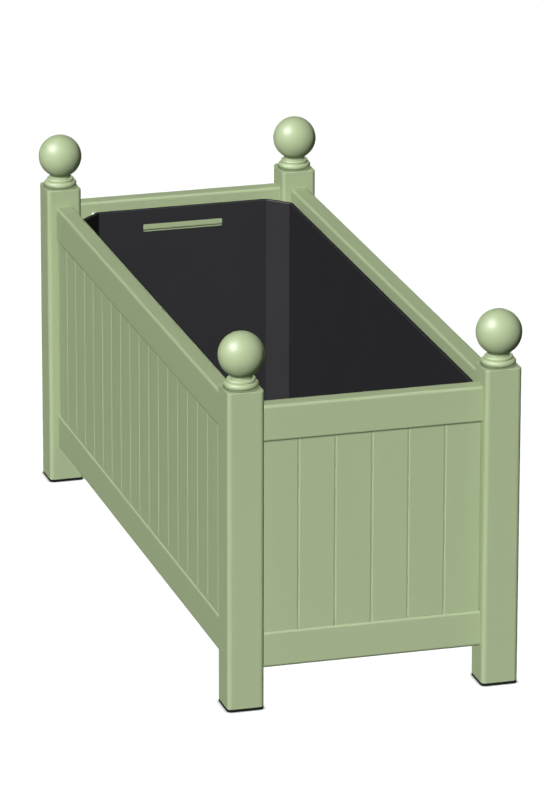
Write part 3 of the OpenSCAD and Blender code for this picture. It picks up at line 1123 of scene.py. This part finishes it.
@dataclass
class Liner:
    """Liner folded from sheet: chamfered corners, a rolled rim with a hem, slots and drain holes.

    The slot is its length, its height and its corners' radius.
    """

    inner_x: float = 448.7
    inner_y: float = 152.2
    fold_round: float = 3.0
    chamfer_run: float = 25.4
    sheet: float = 2.0
    low: float = 88.3
    rim_top: float = 403.4
    rim_width: float = 5.3
    rim_rounds: tuple[float, float] = (1.2, 1.6)
    under_rim_round: float = 0.5
    hem: float = 1.0
    hem_low: float = 393.4
    hem_round: float = 0.4
    floor_round: float = 1.5
    ease: float = 0.01
    slot: Triple = (118.0, 11.2, 2.0)
    slot_height: float = 374.9
    drain_radius: float = 6.0
    drain_steps: int = 32
    drain_rows: tuple[float, ...] = (-419.35, -250.0, 0.0, 250.0, 419.35)
    drain_span: float = 180.0
    cut_edge: float = 0.35
    least_panel: float = 200.0
    plan_steps: int = 6
    section_steps: int = 5
    coat: Finish = LINER_COAT

    def plan(self) -> Line:
        """Draws the walls' inner faces from above: a rectangle with chamfered, folded corners.

        Returns:
            The outline.
        """
        r, run = self.fold_round, self.chamfer_run
        ease = r * math.tan(math.pi / 8)
        end_y = self.inner_y - r - run + ease
        side_x = self.inner_x - r - run + ease
        quarter = [(self.inner_x, end_y), (side_x, self.inner_y)]
        corners = quarter + [(-x, y) for x, y in reversed(quarter)]
        corners += [(-x, -y) for x, y in corners]
        return rounded(corners, r, steps=self.plan_steps)

    def section(self) -> Line:
        """Draws wall, rim and hem, x out of the walls' inner faces and y up.

        Returns:
            The section, from the floor's underside round to its upper face.
        """
        s, low, top, wide = self.sheet, self.low, self.rim_top, self.rim_width
        fold, hem_in, hem_low = self.floor_round, wide - self.hem, self.hem_low
        table = np.array(
            [
                (-fold, low, 0),
                (s, low, fold + s - self.ease),
                (s, top - s, self.under_rim_round),
                (hem_in, top - s, self.hem_round),
                (hem_in, hem_low, self.hem_round),
                (wide, hem_low, self.hem_round),
                (wide, top, self.rim_rounds[0]),
                (0, top, self.rim_rounds[1]),
                (0, low + s, fold - self.ease),
                (-fold, low + s, 0),
            ]
        )
        return rounded(table[:, :2], table[:, 2], closed=False, steps=self.section_steps)

    def _walls(self, shell: Shell) -> None:
        """Adds walls and rim: the section (x, y) carried round the plan, point + x normal, at y.

        The flat cells of both ends are left out, and filled by a plate with its slot cut in it.

        Args:
            shell: The shell that takes them.
        """
        plan, section = self.plan(), self.section()
        flat = plan.points + section.points[:, :1, None] * plan.normals
        points = GROUND.points(flat, section.points[:, 1:])
        lean = section.normals[:, :1, None] * plan.normals
        normals = GROUND.directions(lean, section.normals[:, 1:])
        tall = np.abs(np.diff(section.points[:, 1])) > self.least_panel
        step = np.abs(np.roll(plan.points, -1, 0) - plan.points)
        end = (step[:, 1] > self.least_panel) & (step[:, 0] < step[:, 1])
        cells = tall[:, None] & end[None, :]
        shell.grid(points, normals, cells)
        length, height, r = self.slot
        x, y = length / 2, height / 2
        rim = rounded([(-x, -y), (-x, y), (x, y), (x, -y)], r, steps=self.plan_steps)
        for row, column in zip(*np.nonzero(cells)):
            after = (column + 1) % points.shape[1]
            corners = points[[row, row, row + 1, row + 1], [column, after, after, column]]
            way, facing = math.copysign(1.0, corners[0, 0]), normals[row, column, 0]
            axes = Axes((corners[0, 0], 0, self.slot_height), Y, Z, (way, 0, 0))
            cut = axes.points(rim.moved(-self.cut_edge), 0.0)
            shell.plate([corners, cut], (facing, 0, 0))
            if facing * way < 0:
                shell.wall(rim, axes, self.sheet, self.cut_edge)

    def _floor(self, shell: Shell) -> None:
        """Adds both faces of the floor, and the drain holes through it.

        Args:
            shell: The shell that takes them.
        """
        edge = self.plan().moved(-self.floor_round)
        steps = self.drain_steps - 1
        end = -FULL_TURN * steps / self.drain_steps
        rim = arc((0, 0), self.drain_radius, 0, end, steps, hollow=True)
        cut = rim.moved(-self.cut_edge)
        holes = [(x, s * self.drain_span / 2) for x in self.drain_rows for s in (-1, 1)]
        for height, way in ((self.low, -1.0), (self.low + self.sheet, 1.0)):
            loops = [edge, *(cut + np.array(hole) for hole in holes)]
            shell.plate([GROUND.points(loop, height) for loop in loops], (0, 0, way))
        for hole in holes:
            shell.wall(rim, Axes((*hole, self.low)), self.sheet, self.cut_edge)

    def dress(self, finishes: Finishes) -> None:
        """Builds the liner, on the body that lifts out.

        Args:
            finishes: The finishes in use.
        """
        shell = Shell()
        self._walls(shell)
        self._floor(shell)
        finishes.dress_piece(self.coat, shell.build("folded_liner"), "liner", Body.LINER)


@dataclass(frozen=True)
class SocketScrew:
    """Button-headed screw with a hexagon socket; the dome is its run inwards and its rise."""

    head_radius: float
    shank_radius: float
    shank_length: float = 9.0
    head_height: float = 2.6
    dome: tuple[float, float] = (1.5, 1.3)
    dome_steps: int = 6
    seat_draft: float = 0.1
    mouth_radius: float = 1.55
    mouth_fall: float = 0.25
    socket_apothem: float = 1.08
    socket_depth: float = 1.4
    tip_bevel: float = 0.4
    steps: int = 36

    def rows(self) -> np.ndarray:
        """Lists the rings from the socket's floor over the head to the shank's end.

        Returns:
            Shape (rings, 3): each ring's radius, its height and its share w of hexagon.
        """
        top, end, shank = -self.head_height, self.shank_length, self.shank_radius
        t = np.linspace(0, QUARTER_TURN, self.dome_steps + 1)[::-1]
        dome_radius = self.head_radius - self.dome[0] * (1 - np.cos(t))
        dome_height = top + self.dome[1] * (1 - np.sin(t))
        floor = top + self.socket_depth
        socket = [(0, floor, 0), (1, floor, 1), (1, top + self.mouth_fall, 1)]
        dome = np.stack([dome_radius, dome_height, np.zeros(len(t))], 1)
        seat = [(self.head_radius - self.seat_draft, 0, 0), (shank, 0, 0)]
        tip = [(shank, end - self.tip_bevel, 0), (shank - self.tip_bevel, end, 0), (0, end, 0)]
        return np.array([*socket, (self.mouth_radius, top, 0), *dome, *seat, *tip])

    def add(self, shell: Shell, axes: Axes) -> None:
        """Adds one screw, whose outline goes from a circle to the socket's hexagon and back.

        A ring's radius at an angle a is (1 - w) r + w p / cos(b), where p is the hexagon's apothem
        and b the angle from the nearest flat's middle.

        Args:
            shell: The shell that takes the screw.
            axes: Its origin is the face under the head, and `along` points into the shank.
        """
        radius, height, share = self.rows().T
        angle = full_turn(self.steps)
        sixth = FULL_TURN / 6
        flat = (angle + sixth / 2) % sixth - sixth / 2
        hexagon = self.socket_apothem / np.cos(flat)
        ring = (1 - share)[:, None] * radius[:, None] + share[:, None] * hexagon
        slope_h, slope_r = np.gradient(height), np.gradient(radius)
        slope = np.maximum(np.hypot(slope_h, slope_r), LEAST_LENGTH)[:, None]
        out, lean = (np.stack([slope_h, -slope_r], 1) / slope).T
        ray = rays(angle)
        normals = axes.directions(out[:, None, None] * ray, lean[:, None])
        shell.grid(axes.points(ring[..., None] * ray, height[:, None]), normals)


@dataclass
class Fasteners:
    """The screws that show once the liner is out, and the hidden ones."""

    lock_screw: SocketScrew = SocketScrew(4.2, 2.1)
    cleat_screw: SocketScrew = SocketScrew(4.5, 2.4)
    lock_from_post: float = 22.0
    joint_heights: tuple[float, float] = (396.0, 73.0)
    bearer_places: tuple[float, ...] = (-375.0, -125.0, 125.0, 375.0)
    shelf_low: float = 65.0
    shelf_screw_y: float = 147.5
    leg_screw_y: float = 159.5
    leg_screw_z: float = 60.0
    leg_screw_reach: float = 7.5
    hidden: tuple[str, ...] = ("spigot_screws", "finial_studs", "finial_washers", "finial_nuts")
    steel: Finish = STAINLESS_STEEL

    def lock_screw_axes(self) -> list[Axes]:
        """Finds where screws lock the rails to the cups inside their ends.

        Returns:
            The axes of each screw.
        """
        half_l, half_w = ENVELOPE.length / 2, ENVELOPE.width / 2
        inset = (ENVELOPE.post_side + ENVELOPE.rail_thickness) / 2
        reach = ENVELOPE.post_side + self.lock_from_post
        places = []
        for corner in Corner:
            x, y = corner.value
            for z in self.joint_heights:
                on_long = (x * (half_l - reach), y * (half_w - inset), z)
                on_end = (x * (half_l - inset), y * (half_w - reach), z)
                places += [Axes(on_long, X, Z, (0, y, 0)), Axes(on_end, Y, Z, (x, 0, 0))]
        return places

    def cleat_screw_axes(self) -> list[Axes]:
        """Finds where screws hold the cleats to the rails and the bearers to the cleats.

        Returns:
            The axes of each screw.
        """
        places = []
        for x in self.bearer_places:
            for y in (-1, 1):
                places.append(Axes((x, y * self.shelf_screw_y, self.shelf_low)))
                for reach in (-self.leg_screw_reach, self.leg_screw_reach):
                    leg = (x + reach, y * self.leg_screw_y, self.leg_screw_z)
                    places.append(Axes(leg, X, Z, (0, y, 0)))
        return places

    def dress(self, finishes: Finishes) -> None:
        """Builds the screws that show, and finishes the studs, nuts, washers and hidden screws.

        Args:
            finishes: The finishes in use.
        """
        for node, screw, places in (
            ("rail_lock_screws", self.lock_screw, self.lock_screw_axes()),
            ("cleat_screws", self.cleat_screw, self.cleat_screw_axes()),
        ):
            shell = Shell()
            for axes in places:
                screw.add(shell, axes)
            piece = shell.build(f"button_{node}", exact_normals=False)
            finishes.dress_piece(self.steel, piece, node)
        for node in self.hidden:
            finishes.dress_node(self.steel, node)


@dataclass
class Underframe:
    """Bearers, their cleats and the cups in the rails' ends: bare aluminium sections."""

    bearers: int = 4
    others: tuple[str, ...] = ("bearer_cleats", "top_rail_spigots", "bottom_rail_spigots")
    across: Finish = mill_aluminium("mill_aluminium_across", Grain.ALONG_Y)
    lengthwise: Finish = mill_aluminium("mill_aluminium_lengthwise", Grain.ALONG_X)

    def dress(self, finishes: Finishes) -> None:
        """Finishes the bearers, cleats and cups.

        Args:
            finishes: The finishes in use.
        """
        for i in range(self.bearers):
            finishes.dress_node(self.across, f"bearer_{i + 1}")
        for node in self.others:
            finishes.dress_node(self.lengthwise, node)


# ---------------------------------------------------------------- studio


@dataclass(frozen=True)
class Lamp:
    """A lamp far away, given by the direction that it shines from and its level.

    A white surface that faces a lamp of level 1 renders as white.
    """

    name: str
    towards: Triple
    level: float
    spread_deg: float = 4.0
    shadow: bool = False
    diffuse: bool = True
    glossy: bool = False
    away_m: float = 5.0

    def place(self) -> None:
        """Adds the lamp to the scene."""
        data = bpy.data.lights.new(self.name, "SUN")
        data.energy = self.level * math.pi
        data.angle = math.radians(self.spread_deg)
        data.use_shadow = self.shadow
        lamp = bpy.data.objects.new(self.name, data)
        lamp.rotation_mode = "QUATERNION"
        lamp.rotation_quaternion = Vector(self.towards).to_track_quat("Z", "Y")
        lamp.location = Vector(self.towards) * self.away_m
        lamp.visible_diffuse, lamp.visible_glossy = self.diffuse, self.glossy
        bpy.context.scene.collection.objects.link(lamp)
        log.info("%s: level %.2f", self.name, self.level)


@dataclass(frozen=True)
class PhotoCamera:
    """The camera, where the photograph was taken from; its angles are in radians."""

    place_m: Triple = (7.6799854, -2.2221947, 2.93598705)
    heading: float = 2.859430727
    dip: float = 0.324602745
    roll: float = 0.00189091
    lens_mm: float = 270.91
    sensor_mm: float = 36.0
    clip_m: tuple[float, float] = (0.1, 400.0)

    def place(self) -> None:
        """Adds the camera, turned to its heading, tipped down and rolled, as the scene's own."""
        data = bpy.data.cameras.new("photo_camera")
        data.lens, data.sensor_width, data.sensor_fit = self.lens_mm, self.sensor_mm, "AUTO"
        data.clip_start, data.clip_end = self.clip_m
        camera = bpy.data.objects.new("photo_camera", data)
        camera.matrix_world = (
            Matrix.Translation(self.place_m)
            @ Matrix.Rotation(self.heading - QUARTER_TURN, 4, "Z")
            @ Matrix.Rotation(QUARTER_TURN - self.dip, 4, "X")
            @ Matrix.Rotation(self.roll, 4, "Z")
        )
        bpy.context.scene.collection.objects.link(camera)
        bpy.context.scene.camera = camera


@dataclass
class Studio:
    """White sweep, a main lamp, weak lamps that fill in and a soft one that casts a shadow."""

    lamps: tuple[Lamp, ...] = (
        Lamp("lamp_main", (0.604, -0.545, 0.582), 1.43),
        Lamp("lamp_camera", (0.91, -0.263, 0.319), 0.15),
        Lamp("lamp_gloss", (0.2107, -0.674, 0.706), 5.6, diffuse=False, glossy=True),
        Lamp("lamp_behind", (-0.85, 0.53, 0.0), 0.65),
        Lamp("lamp_overhead", (0.0, 0.0, 1.0), 0.07, spread_deg=70.0, shadow=True),
    )
    camera: PhotoCamera = PhotoCamera()
    ambient: float = 0.02
    floor_radius_m: float = 60.0
    floor_rings: int = 12
    floor_steps: int = 96
    floor_seen: float = 0.8
    floor_glow: float = 0.26
    floor_bounce: float = 0.02
    contact_mm: float = 5.0
    contact_power: float = 1.4
    contact_samples: int = 8

    def _seen(self, graph: Graph) -> Wire:
        """Finds the rays that show the background: the camera's, and those of gloss and glass.

        Args:
            graph: The tree that asks.

        Returns:
            1 for those rays, and 0 for the others.
        """
        names = ("Is Camera Ray", "Is Glossy Ray", "Is Transmission Ray")
        camera, gloss, glass = (graph.add("ShaderNodeLightPath", output=name) for name in names)
        return camera.at_least(gloss).at_least(glass)

    def _world(self) -> None:
        """Makes the world white to look at and dim as a light."""
        world = bpy.data.worlds.new("studio_air")
        bpy.context.scene.world = world
        graph = Graph(world)
        level = self.ambient + self._seen(graph) * (1.0 - self.ambient)
        white = {"Color": rgba((1, 1, 1)), "Strength": level}
        air = graph.add("ShaderNodeBackground", None, white)
        graph.add("ShaderNodeOutputWorld", None, {"Surface": air})

    def _floor_material(self) -> bpy.types.Material:
        """Makes the floor white to look at and dim as a light.

        It darkens within `contact_mm` of what stands on it, where the open air above it is shut
        off: a painted contact shadow.

        Returns:
            The material.
        """
        material = bpy.data.materials.new("studio_floor")
        graph = Graph(material)
        settings, reach = {"samples": self.contact_samples}, {"Distance": self.contact_mm * MM}
        # Painted contact shadow: an ambient occlusion node darkens the floor's colour and glow near
        # what stands on it.
        unshadowed_share = graph.add("ShaderNodeAmbientOcclusion", settings, reach, "AO")
        unshadowed_share = unshadowed_share**self.contact_power
        tone = graph.blend(unshadowed_share, rgba((0, 0, 0)), rgba((self.floor_seen,) * 3))
        bounce = {"Color": rgba((self.floor_bounce,) * 3)}
        glow = {"Color": rgba((1, 1, 1)), "Strength": unshadowed_share * self.floor_glow}
        shown = {
            0: graph.add("ShaderNodeBsdfDiffuse", None, {"Color": tone}),
            1: graph.add("ShaderNodeEmission", None, glow),
        }
        ends = {
            0: self._seen(graph),
            1: graph.add("ShaderNodeBsdfDiffuse", None, bounce),
            2: graph.add("ShaderNodeAddShader", None, shown),
        }
        mixed = graph.add("ShaderNodeMixShader", None, ends)
        graph.add("ShaderNodeOutputMaterial", None, {"Surface": mixed})
        return material

    def _floor(self) -> None:
        """Adds the floor: a round sheet, whose ring k of n has the floor's radius by (k / n)^3."""
        share = np.arange(self.floor_rings + 1) / self.floor_rings
        ring = share**3 * self.floor_radius_m / MM
        points = GROUND.points(ring[:, None, None] * rays(full_turn(self.floor_steps)), 0.0)
        shell = Shell()
        shell.grid(points, np.broadcast_to(np.array(Z, float), points.shape))
        floor = shell.build("studio_floor")
        floor.data.materials.append(self._floor_material())

    def set_up(self) -> None:
        """Adds floor, world, lamps and camera."""
        bpy.context.scene.view_settings.view_transform = "Standard"
        self._world()
        self._floor()
        for lamp in self.lamps:
            lamp.place()
        self.camera.place()


def main() -> None:
    """Sets up the studio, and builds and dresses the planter."""
    logging.basicConfig(level=logging.INFO, format="%(name)s: %(message)s")
    Studio().set_up()
    finishes = Finishes()
    for assembly in (Frame(), Finial(), Boards(), Liner(), Fasteners(), Underframe()):
        log.info("%s", type(assembly).__name__)
        assembly.dress(finishes)


if __name__ == "__main__":
    main()
